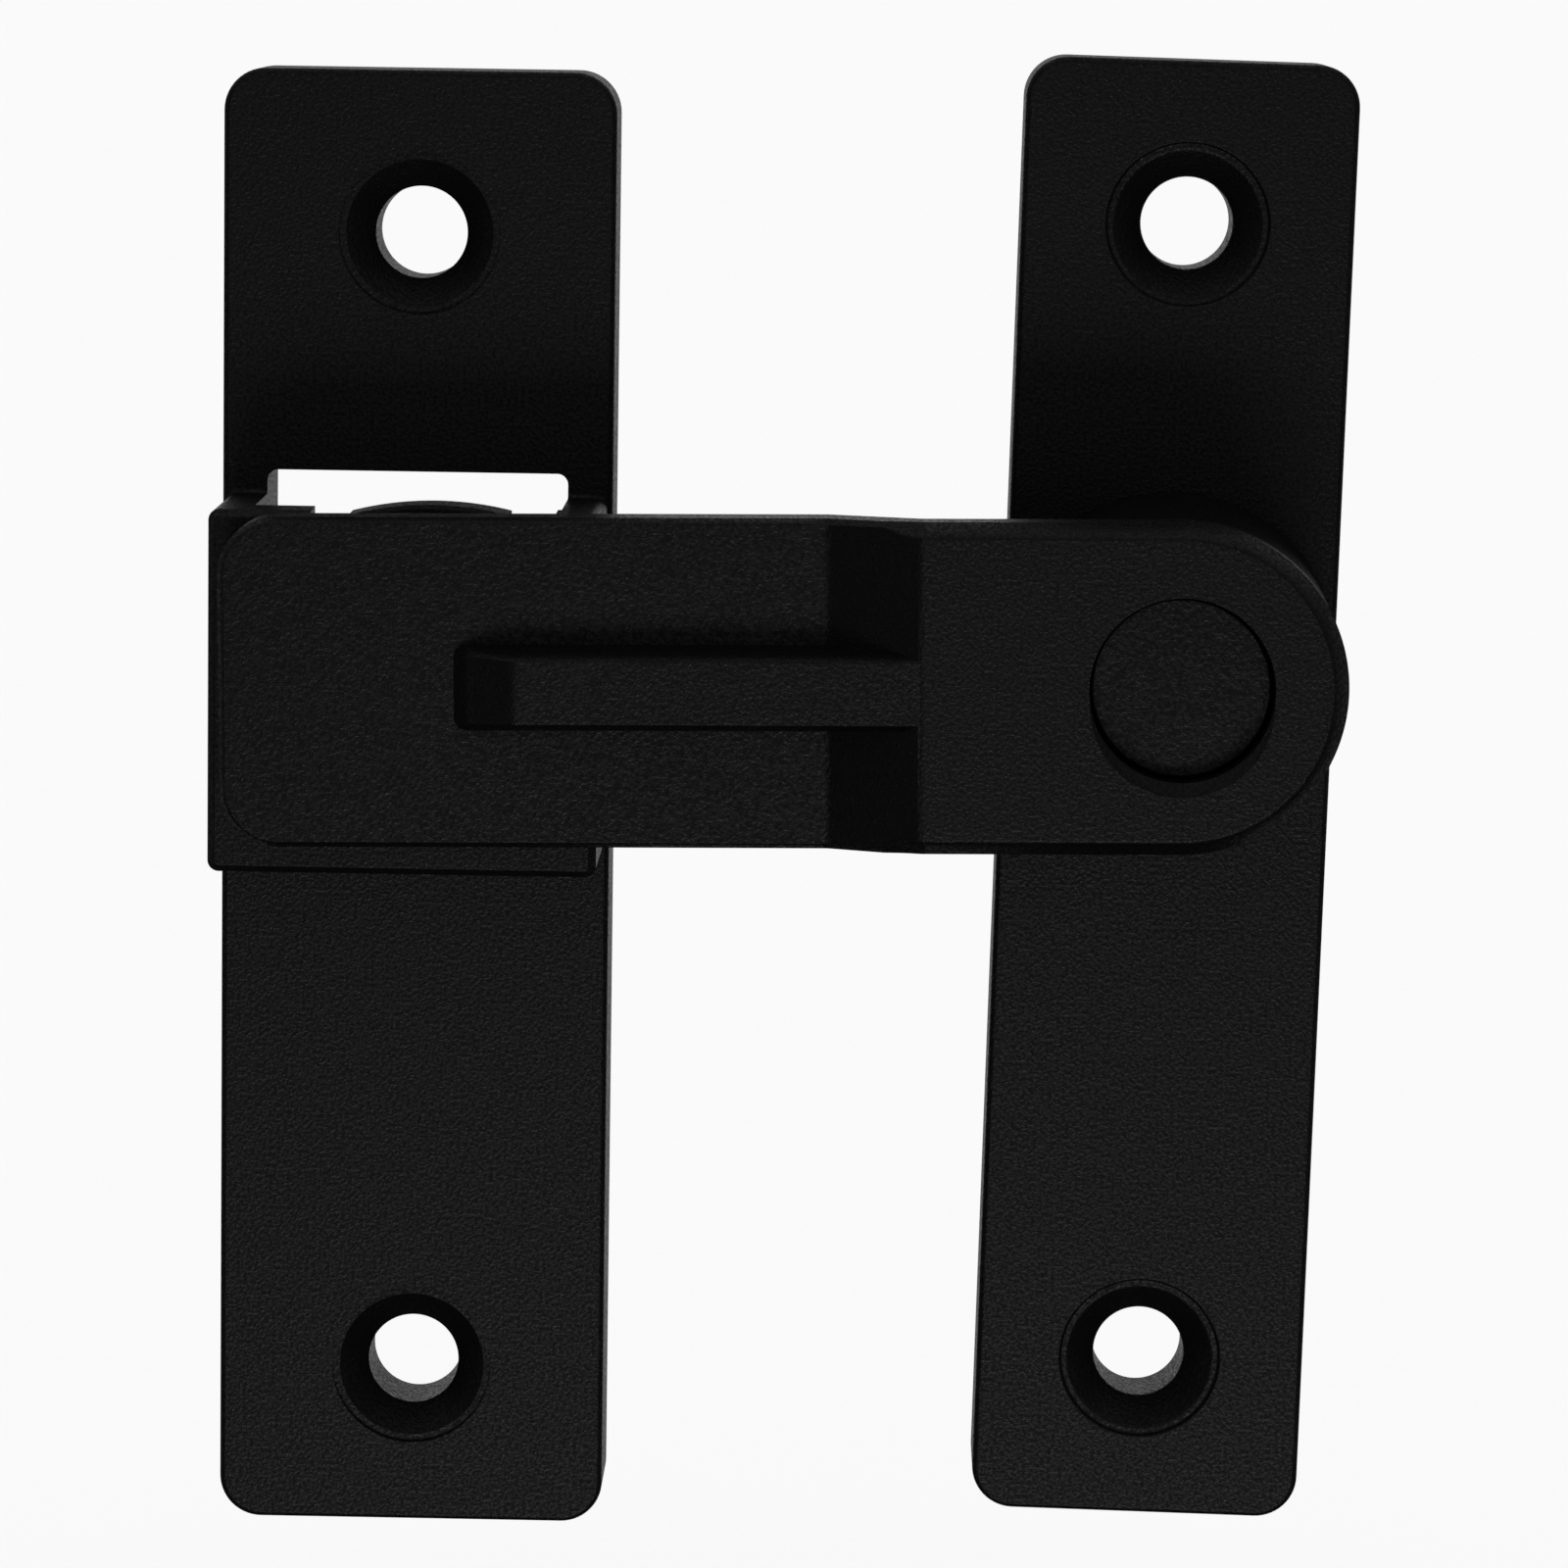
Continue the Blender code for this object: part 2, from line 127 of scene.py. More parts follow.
RIB_STEP_FRONT = 20.3 * MM
RIB_TOP_START = -34.95 * MM
RIB_BELOW_HUB = 0.05 * MM
RIB_FRONT = HUB_FRONT - RIB_BELOW_HUB
RIB_CENTRE = -0.2 * MM
HOOK_X = -40.0 * MM
HOOK_HALF = 4.3 * MM
HOOK_CROWN = 17.6 * MM
HOOK_TOP = 8.8 * MM
HOOK_NECK_TOP = 7.9 * MM
HOOK_NECK_BOTTOM = 2.25 * MM
HOOK_TIP = -2.0 * MM
HOOK_CORNER = 1.0 * MM
HOOK_BITE = 0.1 * MM

# -------------------------------------------------------------- finish of the edges
PLATE_EDGE = 0.35 * MM
BACK_EDGE = 0.15 * MM
BOX_EDGE = 0.45 * MM
BEND_FILLET = 0.3 * MM
CUT_EDGE = 0.12 * MM
ARM_EDGE = 0.36 * MM
HUB_EDGE = 0.9 * MM
RIB_EDGE = 0.4 * MM
RIB_CORNER = 0.8 * MM
RIB_BEND = 0.3 * MM
RIB_LEAD = 0.02 * MM
RIB_BURIED = 0.5 * MM
RIB_SKIRT = 0.05 * MM
RIB_EDGE_SHARE = 0.45
RIB_EDGE_LEAST = 0.002 * MM
JOGGLE_BEND = 0.25 * MM
HUB_EDGE_RUN = 1.9 * MM
BEVEL_TILT = 50
BOX_CORNER = 0.6 * MM
POCKET_CORNER = 0.6 * MM
NOTCH_CORNER = 0.8 * MM
BOSS_EDGE = 0.25 * MM
TONGUE_EDGE = 0.25 * MM
SPACER_EDGE = 0.2 * MM
PIN_EDGE = 0.12 * MM
PEEN_DOME = 0.3 * MM
BURR_EDGE = 0.12 * MM
THRUST_EDGE = 0.1 * MM
BUSH_EDGE = 0.15 * MM
WAVE_EDGE = 0.08 * MM
NECK_EDGE = 0.05 * MM
RELIEF_DIAMETER = 9.7 * MM
RELIEF_SLOPE = math.tan(math.radians(18))
RELIEF_STEP = 0.07 * MM
RELIEF_DROP = 0.75 * MM

# How far a cutter stands out of what it cuts, and how far a joined part goes into it.
OVERRUN = 1.0 * MM
# Kept between pieces that touch.
GAP = 0.3 * MM

ROUND_STEPS = 96
CORNER_STEPS = 14
EDGE_STEPS = 6

# Matrices that carry a plate's or the arm's own frame into the row's frame.
KEEPER_FRAME = Matrix.Translation((KEEPER_CENTRE.x, 0, KEEPER_CENTRE.z))
PLATE_FRAME = Matrix.Rotation(PIVOT_LEAN, 4, "Y")
PIN_FRAME = Matrix.Translation(PIVOT) @ PLATE_FRAME
ARM_FRAME = Matrix.Translation(PIVOT) @ Matrix.Rotation(-ARM_DROOP, 4, "Y")


# ------------------------------------------------------------------------ outlines
def arc(centre_x, centre_z, radius, start, end, steps):
    """Points on an arc, angles in degrees, anticlockwise from +X."""
    points = []
    for step in range(steps + 1):
        angle = math.radians(start + (end - start) * step / steps)
        points.append((centre_x + radius * math.cos(angle),
                       centre_z + radius * math.sin(angle)))
    return points


def rounded_rectangle(left, right, bottom, top, radius, steps=CORNER_STEPS):
    points = []
    points += arc(right - radius, bottom + radius, radius, -90, 0, steps)
    points += arc(right - radius, top - radius, radius, 0, 90, steps)
    points += arc(left + radius, top - radius, radius, 90, 180, steps)
    points += arc(left + radius, bottom + radius, radius, 180, 270, steps)
    return points


# -------------------------------------------------------------------------- meshes
def close_rings(rings):
    """Mesh of the rings joined in order, with the first and last ring capped."""
    shape = bmesh.new()
    loops = [[shape.verts.new(point) for point in ring] for ring in rings]
    for lower, upper in zip(loops, loops[1:]):
        for index in range(len(lower)):
            after = (index + 1) % len(lower)
            shape.faces.new((lower[index], lower[after], upper[after], upper[index]))
    shape.faces.new(reversed(loops[0]))
    shape.faces.new(loops[-1])
    bmesh.ops.recalc_face_normals(shape, faces=shape.faces)
    return shape


def edge_layers(back, front, back_edge, front_edge):
    """(depth, inset) pairs of a slab's side, with both of its edges rounded."""
    layers = []
    for step in range(EDGE_STEPS + 1):
        angle = math.radians(90 * step / EDGE_STEPS)
        layers.append((back + back_edge * (1 - math.sin(angle)),
                       back_edge * (1 - math.cos(angle))))
    layers.reverse()
    for step in range(EDGE_STEPS + 1):
        angle = math.radians(90 * step / EDGE_STEPS)
        layers.append((front - front_edge * (1 - math.sin(angle)),
                       front_edge * (1 - math.cos(angle))))
    return layers


def bevelled_profile(steps):
    """Unit (drop, inset) pairs from the side to the face: a bevel, then a tight round."""
    steep = math.radians(BEVEL_TILT)
    radius = (math.tan(steep) - 1) / (math.sin(steep) * math.tan(steep) - 1 + math.cos(steep))
    pairs = [(1, 0)]
    for step in range(steps + 1):
        tilt = steep * (1 - step / steps)
        pairs.append((radius * (1 - math.cos(tilt)), 1 - radius * math.sin(tilt)))
    return pairs


def soft_slab(outline_at, back, front, back_edge, front_edge):
    """A slab with rounded edges; outline_at(inset) gives its outline."""
    rings = []
    for depth, inset in edge_layers(back, front, back_edge, front_edge):
        rings.append([(x, -depth, z) for x, z in outline_at(inset)])
    return close_rings(rings)


def slab(outline, back, front):
    rings = [[(x, -depth, z) for x, z in outline] for depth in (back, front)]
    return close_rings(rings)


def turned(profile, steps=ROUND_STEPS):
    """Solid of revolution about the depth axis from a closed (radius, depth) loop."""
    shape = bmesh.new()
    columns = []
    on_axis = {}
    for step in range(steps):
        angle = 2 * math.pi * step / steps
        column = []
        for index, (radius, depth) in enumerate(profile):
            if radius == 0:
                if index not in on_axis:
                    on_axis[index] = shape.verts.new((0, -depth, 0))
                column.append(on_axis[index])
            else:
                place = (radius * math.cos(angle), -depth, radius * math.sin(angle))
                column.append(shape.verts.new(place))
        columns.append(column)
    for step in range(steps):
        here = columns[step]
        beside = columns[(step + 1) % steps]
        for index in range(len(profile)):
            after = (index + 1) % len(profile)
            corners = [here[index], here[after], beside[after], beside[index]]
            corners = list(dict.fromkeys(corners))
            if len(corners) > 2:
                shape.faces.new(corners)
    bmesh.ops.recalc_face_normals(shape, faces=shape.faces)
    return shape


def soften_profile(profile, radius, steps=4):
    """The (radius, depth) loop with its convex and concave corners rounded."""
    points = []
    count = len(profile)
    for index, corner in enumerate(profile):
        here = Vector(corner)
        before = Vector(profile[index - 1]) - here
        after = Vector(profile[(index + 1) % count]) - here
        if here.x == 0:
            points.append(corner)
            continue
        reach = min(radius, before.length * 0.45, after.length * 0.45)
        start = here + before.normalized() * reach
        end = here + after.normalized() * reach
        for step in range(steps + 1):
            t = step / steps
            point = start * (1 - t) ** 2 + here * 2 * t * (1 - t) + end * t ** 2
            points.append((point.x, point.y))
    return points


# ------------------------------------------------------------------------- objects
def make_object(name, shape):
    mesh = bpy.data.meshes.new(name)
    shape.to_mesh(mesh)
    shape.free()
    obj = bpy.data.objects.new(name, mesh)
    bpy.context.scene.collection.objects.link(obj)
    return obj


def combine(target, shape, operation, location=(0, 0, 0)):
    """Joins a shape to the target, or cuts the target with it, for good."""
    tool = make_object("tool", shape)
    tool.location = location
    modifier = target.modifiers.new("combine", "BOOLEAN")
    modifier.operation = operation
    modifier.solver = "EXACT"
    modifier.object = tool
    bpy.context.view_layer.update()
    evaluated = target.evaluated_get(bpy.context.evaluated_depsgraph_get())
    mesh = bpy.data.meshes.new_from_object(evaluated)
    target.modifiers.clear()
    old = target.data
    target.data = mesh
    mesh.name = target.name
    bpy.data.meshes.remove(old)
    bpy.data.objects.remove(tool, do_unlink=True)


def round_edges(target, width, steps=3, limit=35, chosen=lambda a, b: True):
    """Rounds the target's sharp edges whose two ends the test accepts."""
    shape = bmesh.new()
    shape.from_mesh(target.data)
    bmesh.ops.dissolve_limit(shape, angle_limit=math.radians(0.05),
                             verts=shape.verts, edges=shape.edges)
    edges = []
    for edge in shape.edges:
        if len(edge.link_faces) == 2 and edge.calc_face_angle() > math.radians(limit):
            if chosen(edge.verts[0].co, edge.verts[1].co):
                edges.append(edge)
    bmesh.ops.bevel(shape, geom=edges, offset=width, segments=steps, profile=0.5,
                    affect="EDGES", clamp_overlap=True)
    shape.to_mesh(target.data)
    shape.free()


def finish_piece(piece, matrix, body, node, material):
    """Places a piece, gives it its finish, and lets it stand for its CAD node."""
    piece.data.transform(matrix)
    piece.data.shade_smooth()
    piece.data.set_sharp_from_angle(angle=math.radians(40))
    piece.data.materials.clear()
    piece.data.materials.append(material)
    weighted = piece.modifiers.new("flat faces stay flat", "WEIGHTED_NORMAL")
    weighted.keep_sharp = True
    weighted.weight = 100
    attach(piece, body)
    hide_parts(node)


# ------------------------------------------------------------------------- plates
def screw_hole_cutter():
    """Through hole, 90 degree countersink and the shallow seat round it."""
    hole = SCREW_HOLE / 2
    sink = SCREW_SINK / 2
    seat = SCREW_SEAT / 2
    floor = PLATE_THICKNESS - SCREW_SEAT_DEPTH
    profile = [(0, -OVERRUN), (hole, -OVERRUN), (hole, floor - (sink - hole)),
               (sink, floor), (seat, floor), (seat, PLATE_THICKNESS + OVERRUN),
               (0, PLATE_THICKNESS + OVERRUN)]
    return turned(profile)


def drill_screw_holes(plate):
    reach = PLATE_LENGTH / 2 - SCREW_INSET
    for height in (reach, -reach):
        combine(plate, screw_hole_cutter(), "DIFFERENCE", location=(0, 0, height))


def plate_shape(width):
    def outline_at(inset):
        return rounded_rectangle(inset - width / 2, width / 2 - inset,
                                 inset - PLATE_LENGTH / 2, PLATE_LENGTH / 2 - inset,
                                 PLATE_CORNER - inset)
    return soft_slab(outline_at, 0, PLATE_THICKNESS, BACK_EDGE, PLATE_EDGE)


def box_shape():
    """Raised box whose top and bottom sides flare out where they meet the plate."""
    layers = [(PLATE_THICKNESS / 2, 0, -BEND_FILLET)]
    for step in range(EDGE_STEPS + 1):
        angle = math.radians(90 * step / EDGE_STEPS)
        layers.append((PLATE_THICKNESS + BEND_FILLET * (1 - math.cos(angle)), 0,
                       -BEND_FILLET * (1 - math.sin(angle))))
    for drop, inset in bevelled_profile(EDGE_STEPS):
        layers.append((BOX_FRONT - BOX_EDGE * drop, BOX_EDGE * inset, BOX_EDGE * inset))
    rings = []
    for depth, side, end in layers:
        outline = rounded_rectangle(BOX_LEFT + side, BOX_RIGHT - side,
                                    BOX_BOTTOM + end, BOX_TOP - end, BOX_CORNER - side)
        rings.append([(x, -depth, z) for x, z in outline])
    return close_rings(rings)


def make_keeper_plate(material):
    keeper = make_object("keeper_plate_coated", plate_shape(KEEPER_WIDTH))
    combine(keeper, box_shape(), "UNION")
    half = KEEPER_WIDTH / 2 - BOX_SIDE_WALL
    wall_back = BOX_FRONT - BOX_FRONT_WALL
    pocket = rounded_rectangle(-half, half, BOX_BOTTOM + BOX_FLOOR, WINDOW_TOP,
                               POCKET_CORNER)
    combine(keeper, slab(pocket, -OVERRUN, wall_back), "DIFFERENCE")
    notch = rounded_rectangle(NOTCH_LEFT, NOTCH_RIGHT, NOTCH_FLOOR,
                              BOX_TOP + 2 * OVERRUN, NOTCH_CORNER)
    combine(keeper, slab(notch, wall_back - OVERRUN, BOX_FRONT + OVERRUN), "DIFFERENCE")
    drill_screw_holes(keeper)
    round_edges(keeper, CUT_EDGE)
    finish_piece(keeper, KEEPER_FRAME, "base", "keeper_plate", material)


def make_pivot_plate(material):
    plate = make_object("pivot_plate_coated", plate_shape(PIVOT_WIDTH))
    drill_screw_holes(plate)
    bore = PIN_BORE / 2
    recess = BURR_RECESS / 2
    profile = [(0, -OVERRUN), (recess, -OVERRUN), (recess, BURR_RECESS_DEPTH),
               (bore, BURR_RECESS_DEPTH), (bore, PLATE_THICKNESS + OVERRUN),
               (0, PLATE_THICKNESS + OVERRUN)]
    combine(plate, turned(profile), "DIFFERENCE", location=(0, 0, PIVOT.length))

    def clear_of_recess(first, second):
        return all(math.hypot(point.x, point.z - PIVOT.length) > recess + CUT_EDGE
                   for point in (first, second))

    round_edges(plate, CUT_EDGE, chosen=clear_of_recess)
    finish_piece(plate, PLATE_FRAME, "base", "pivot_plate", material)


# -------------------------------------------------------------------- pivot stack
def make_turned_piece(name, profile, rounding, matrix, body, node, material):
    piece = make_object(name, turned(soften_profile(profile, rounding)))
    finish_piece(piece, matrix, body, node, material)


def ring_profile(inner, outer, back, front):
    return [(inner, back), (outer, back), (outer, front), (inner, front)]


def make_spacer(material):
    """Tapered sleeve, standing on the plate and ending at the thrust washer."""
    foot = SPACER_FOOT / 2
    nose = SPACER_NOSE / 2
    bore = PIN_BORE / 2
    profile = [(bore, SPACER_BACK), (foot, SPACER_BACK), (nose, SPACER_FRONT),
               (bore, SPACER_FRONT)]
    make_turned_piece("pivot_spacer_coated", profile, SPACER_EDGE, PIN_FRAME, "base",
                      "pivot_spacer", material)


def make_pivot_pin(material):
    """Shoulder rivet: round head, shank, and a tail peened over its burr."""
    shank = PIN_SHANK / 2
    head = PIN_HEAD / 2
    tail = PIN_TAIL / 2
    peen = PIN_PEEN / 2
    profile = [(0, TAIL_BACK), (peen - PEEN_DOME, TAIL_BACK), (peen, TAIL_BACK + PEEN_DOME),
               (peen, PIN_PEEN_FRONT), (tail, PIN_PEEN_FRONT), (tail, BURR_RECESS_DEPTH),
               (shank, BURR_RECESS_DEPTH), (shank, PIN_HEAD_BACK), (head, PIN_HEAD_BACK),
               (head, HEAD_FRONT), (0, HEAD_FRONT)]
    make_turned_piece("pivot_pin_coated", profile, PIN_EDGE, PIN_FRAME, "base",
                      "pivot_pin", material)


def make_washers(zinc, acetal):
    low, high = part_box("burr_washer")
    profile = ring_profile(PIN_TAIL / 2 + BURR_CLEARANCE, BURR_RECESS / 2 - GAP,
                           -high.y, -low.y)
    make_turned_piece("burr_washer_zinc", profile, BURR_EDGE, PIN_FRAME, "base",
                      "burr_washer", zinc)
    low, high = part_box("thrust_washer")
    profile = ring_profile(PIN_BORE / 2, THRUST_DIAMETER / 2, -high.y, -low.y)
    make_turned_piece("thrust_washer_acetal", profile, THRUST_EDGE, PIN_FRAME, "base",
                      "thrust_washer", acetal)
    low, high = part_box("pivot_bush")
    profile = ring_profile(PIN_BORE / 2, BUSH_DIAMETER / 2, -high.y, -low.y)
    make_turned_piece("pivot_bush_acetal", profile, BUSH_EDGE, ARM_FRAME, "arm",
                      "pivot_bush", acetal)


def make_wave_washer(material):
    """A thin ring whose depth rises and falls in even waves round its axis."""
    low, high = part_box("wave_washer")
    middle = -(low.y + high.y) / 2
    amplitude = (high.y - low.y - WAVE_THICKNESS) / 2
    shape = bmesh.new()
    section = soften_profile(ring_profile(PIN_BORE / 2, WAVE_DIAMETER / 2,
                                          -WAVE_THICKNESS / 2, WAVE_THICKNESS / 2), WAVE_EDGE)
    columns = []
    for step in range(ROUND_STEPS):
        angle = 2 * math.pi * step / ROUND_STEPS
        centre = middle + amplitude * math.cos(WAVE_COUNT * angle)
        columns.append([shape.verts.new((radius * math.cos(angle), -(centre + depth),
                                         radius * math.sin(angle)))
                        for radius, depth in section])
    for step in range(ROUND_STEPS):
        here = columns[step]
        beside = columns[(step + 1) % ROUND_STEPS]
        for index in range(len(section)):
            after = (index + 1) % len(section)
            shape.faces.new((here[index], here[after], beside[after], beside[index]))
    bmesh.ops.recalc_face_normals(shape, faces=shape.faces)
    washer = make_object("wave_washer_spring", shape)
    finish_piece(washer, PIN_FRAME, "base", "wave_washer", material)


# ---------------------------------------------------------------------- latch arm
def bend(x, corner, blend):
    """Zero before the corner and rising with slope one after it, with a soft start."""
    past = x - corner
    if past <= -blend:
        return 0.0
    if past >= blend:
        return past
    return (past + blend) ** 2 / (4 * blend)


def joggled(x, thin, raised, blend=JOGGLE_BEND):
    """A value that changes from its thin-half to its raised-half size at the joggle."""
    slope = (raised - thin) / (JOGGLE_END - JOGGLE_START)
    return thin + slope * (bend(x, JOGGLE_START, blend) - bend(x, JOGGLE_END, blend))


def arm_edge(x):
    """Width of the arm's front bevel, which grows just before the raised half."""
    along = min(max((x - JOGGLE_END) / HUB_EDGE_RUN + 1, 0), 1)
    return ARM_EDGE + (HUB_EDGE - ARM_EDGE) * math.sin(math.radians(90 * along))


def arm_stations():
    """(x, z, inward x, inward z) along the arm's upper edge, from its round end."""
    stations = []
    half_steps = ROUND_STEPS // 2
    for step in range(half_steps + 1):
        angle = math.radians(90 * step / half_steps)
        stations.append((ARM_HALF * math.cos(angle), ARM_HALF * math.sin(angle),
                         -math.cos(angle), -math.sin(angle)))
    straight = []
    steps = 12
    for corner in (JOGGLE_END, JOGGLE_START):
        for step in range(steps + 1):
            straight.append(corner + JOGGLE_BEND * (1 - 2 * step / steps))
    straight += [JOGGLE_END - HUB_EDGE_RUN * part / steps for part in range(2, steps + 1)]
    for x in sorted(straight, reverse=True):
        stations.append((x, ARM_HALF, 0, -1))
    for step in range(CORNER_STEPS + 1):
        angle = math.radians(90 + 90 * step / CORNER_STEPS)
        stations.append((ARM_END + ARM_END_CORNER * (1 + math.cos(angle)),
                         ARM_HALF - ARM_END_CORNER * (1 - math.sin(angle)),
                         -math.cos(angle), -math.sin(angle)))
    return stations


def arm_blank():
    """The arm's body: joggled faces, with a front bevel that grows at the hub."""
    layers = []
    for step in range(EDGE_STEPS + 1):
        angle = math.radians(90 * (1 - step / EDGE_STEPS))
        layers.append(("back", 1 - math.sin(angle), 1 - math.cos(angle)))
    for drop, inset in bevelled_profile(EDGE_STEPS):
        layers.append(("front", drop, inset))
    shape = bmesh.new()
    stations = arm_stations()
    rings = []
    for face, drop, inset in layers:
        upper = []
        lower = []
        for x, z, inward_x, inward_z in stations:
            if face == "front":
                radius = arm_edge(x)
                place = x + inward_x * inset * radius
                depth = joggled(place, ARM_FRONT, HUB_FRONT) - drop * radius
            else:
                radius = ARM_EDGE
                place = x + inward_x * inset * radius
                depth = joggled(place, ARM_BACK, HUB_BACK) + drop * radius
            height = z + inward_z * inset * radius
            upper.append(shape.verts.new((place, -depth, height)))
            if z > 0:
                lower.append(shape.verts.new((place, -depth, -height)))
        rings.append((upper, lower))
    loops = [upper + lower[::-1] for upper, lower in rings]
    for below, above in zip(loops, loops[1:]):
        for index in range(len(below)):
            after = (index + 1) % len(below)
            shape.faces.new((below[index], below[after], above[after], above[index]))
    for upper, lower in (rings[0], rings[-1]):
        shape.faces.new((upper[0], upper[1], lower[0]))
        for index in range(1, len(upper) - 1):
            shape.faces.new((upper[index], upper[index + 1], lower[index], lower[index - 1]))
    bmesh.ops.recalc_face_normals(shape, faces=shape.faces)
    return shape


def rib_front(x):
    """Depth of the rib's crest: a steep end, a ramp, then level to the hub."""
    steep = (RIB_STEP_FRONT - ARM_FRONT) / (RIB_STEP - RIB_FOOT)
    ramp = (RIB_FRONT - RIB_STEP_FRONT) / (RIB_TOP_START - RIB_STEP)
    return (ARM_FRONT + steep * (x - RIB_FOOT) + (ramp - steep) * bend(x, RIB_STEP, RIB_BEND)
            - ramp * bend(x, RIB_TOP_START, RIB_BEND))


def rib_shape():
    """Stiffening rib with drafted sides, bevelled crest and round-cornered foot."""
    start = RIB_FOOT - RIB_LEAD
    end = JOGGLE_END + OVERRUN
    xs = [start + RIB_CORNER * (1 - math.cos(math.radians(90 * step / 10)))
          for step in range(11)]
    for corner in (RIB_STEP, RIB_TOP_START):
        xs += [corner + RIB_BEND * (step / 6 - 1) for step in range(13)]
    xs.append(end)
    xs = sorted(set(round(x, 8) for x in xs))
    rings = []
    for x in xs:
        crest = rib_front(x)
        rise = max(crest - ARM_FRONT, 0)
        into_corner = max(RIB_CORNER - (x - start), 0)
        pulled_in = RIB_CORNER - math.sqrt(RIB_CORNER ** 2 - into_corner ** 2)
        foot = RIB_HALF - pulled_in
        edge = min(RIB_EDGE, RIB_EDGE_SHARE * rise) + RIB_EDGE_LEAST
        half = foot - RIB_DRAFT * max(rise - edge, 0)
        side = [(foot + RIB_DRAFT * RIB_BURIED, ARM_FRONT - RIB_BURIED),
                (foot, ARM_FRONT - RIB_SKIRT)]
        for drop, inset in bevelled_profile(EDGE_STEPS):
            side.append((half - edge * inset, crest - edge * drop))
        ring = [(x, -depth, RIB_CENTRE + across) for across, depth in side]
        ring += [(x, -depth, RIB_CENTRE - across) for across, depth in reversed(side)]
        rings.append(ring)
    return close_rings(rings)


def make_latch_arm(material):
    arm = make_object("latch_arm_coated", arm_blank())
    combine(arm, rib_shape(), "UNION")
    boss = BOSS_DIAMETER / 2
    buried = HUB_BACK + OVERRUN
    combine(arm, turned(soften_profile([(0, BOSS_BACK), (boss, BOSS_BACK), (boss, buried),
                                        (0, buried)], BOSS_EDGE)), "UNION")
    bore = ARM_BORE / 2
    recess = HEAD_RECESS / 2
    cut = [(0, BOSS_BACK - OVERRUN), (bore, BOSS_BACK - OVERRUN),
           (bore, HEAD_RECESS_FLOOR), (recess, HEAD_RECESS_FLOOR),
           (recess, HUB_FRONT + OVERRUN), (0, HUB_FRONT + OVERRUN)]
    combine(arm, turned(cut), "DIFFERENCE")
    relief = RELIEF_DIAMETER / 2
    rim = HUB_FRONT - RELIEF_STEP
    slope = [(0, rim - RELIEF_SLOPE * relief), (relief, rim),
             (relief, HUB_FRONT + OVERRUN), (0, HUB_FRONT + OVERRUN)]
    combine(arm, turned(slope), "DIFFERENCE", location=(0, 0, -RELIEF_DROP))

    def round_the_bore(first, second):
        return all(abs(math.hypot(point.x, point.z) - bore) < 0.02 * MM
                   and BOSS_BACK - OVERRUN < -point.y < HUB_BACK
                   for point in (first, second))

    round_edges(arm, CUT_EDGE, chosen=round_the_bore)
    finish_piece(arm, ARM_FRAME, "arm", "latch_arm", material)


def hook_outline(bottom, top, corner, inset):
    """Crowned top, straight sides and two round lower corners, moved inwards."""
    half = HOOK_HALF - inset
    crown = HOOK_CROWN - inset
    radius = corner - inset
    lowest = bottom + inset
    half_angle = math.degrees(math.asin(half / crown))
    points = []
    points += arc(HOOK_X + half - radius, lowest + radius, radius, -90, 0, CORNER_STEPS)
    points += arc(HOOK_X, top - HOOK_CROWN, crown,
                  90 - half_angle, 90 + half_angle, 24)
    points += arc(HOOK_X - half + radius, lowest + radius, radius, 180, 270, CORNER_STEPS)
    return points


def make_catch_hook(material):
    """Tongue behind the keeper's wall, and the neck that joins it to the arm."""
    tongue_front = BOX_FRONT - BOX_FRONT_WALL - GAP

    def tongue_at(inset):
        return hook_outline(HOOK_TIP, HOOK_TOP, HOOK_CORNER, inset)

    def neck_at(inset):
        return hook_outline(HOOK_NECK_BOTTOM, HOOK_NECK_TOP, HOOK_CORNER / 2, inset)

    hook = make_object("catch_hook_coated",
                       soft_slab(tongue_at, TONGUE_BACK, tongue_front,
                                 TONGUE_EDGE, TONGUE_EDGE))
    neck = soft_slab(neck_at, TONGUE_BACK + OVERRUN, ARM_BACK + HOOK_BITE,
                     NECK_EDGE, NECK_EDGE)
    combine(hook, neck, "UNION")
    finish_piece(hook, ARM_FRAME, "arm", "catch_hook", material)


# ---------------------------------------------------------------------- materials
def new_material(name):
    """An empty Principled material, with its tree, its shader and object coordinates."""
    material = bpy.data.materials.new(name)
    material.use_nodes = True
    tree = material.node_tree
    shader = tree.nodes["Principled BSDF"]
    coordinates = tree.nodes.new("ShaderNodeTexCoord").outputs["Object"]
    return material, tree, shader, coordinates


def noise(tree, coordinates, grain, detail=2.0, roughness=0.5):
    """Noise whose lumps are about one grain across, in metres."""
    node = tree.nodes.new("ShaderNodeTexNoise")
    node.inputs["Scale"].default_value = 0.5 / grain
    node.inputs["Detail"].default_value = detail
    node.inputs["Roughness"].default_value = roughness
    tree.links.new(coordinates, node.inputs["Vector"])
    return node.outputs["Fac"]


def remapped(tree, value, low, high, to_low, to_high):
    node = tree.nodes.new("ShaderNodeMapRange")
    node.inputs["From Min"].default_value = low
    node.inputs["From Max"].default_value = high
    node.inputs["To Min"].default_value = to_low
    node.inputs["To Max"].default_value = to_high
    tree.links.new(value, node.inputs["Value"])
    return node.outputs["Result"]


def multiplied(tree, first, second):
    node = tree.nodes.new("ShaderNodeMath")
    node.operation = "MULTIPLY"
    tree.links.new(first, node.inputs[0])
    tree.links.new(second, node.inputs[1])
    return node.outputs["Value"]


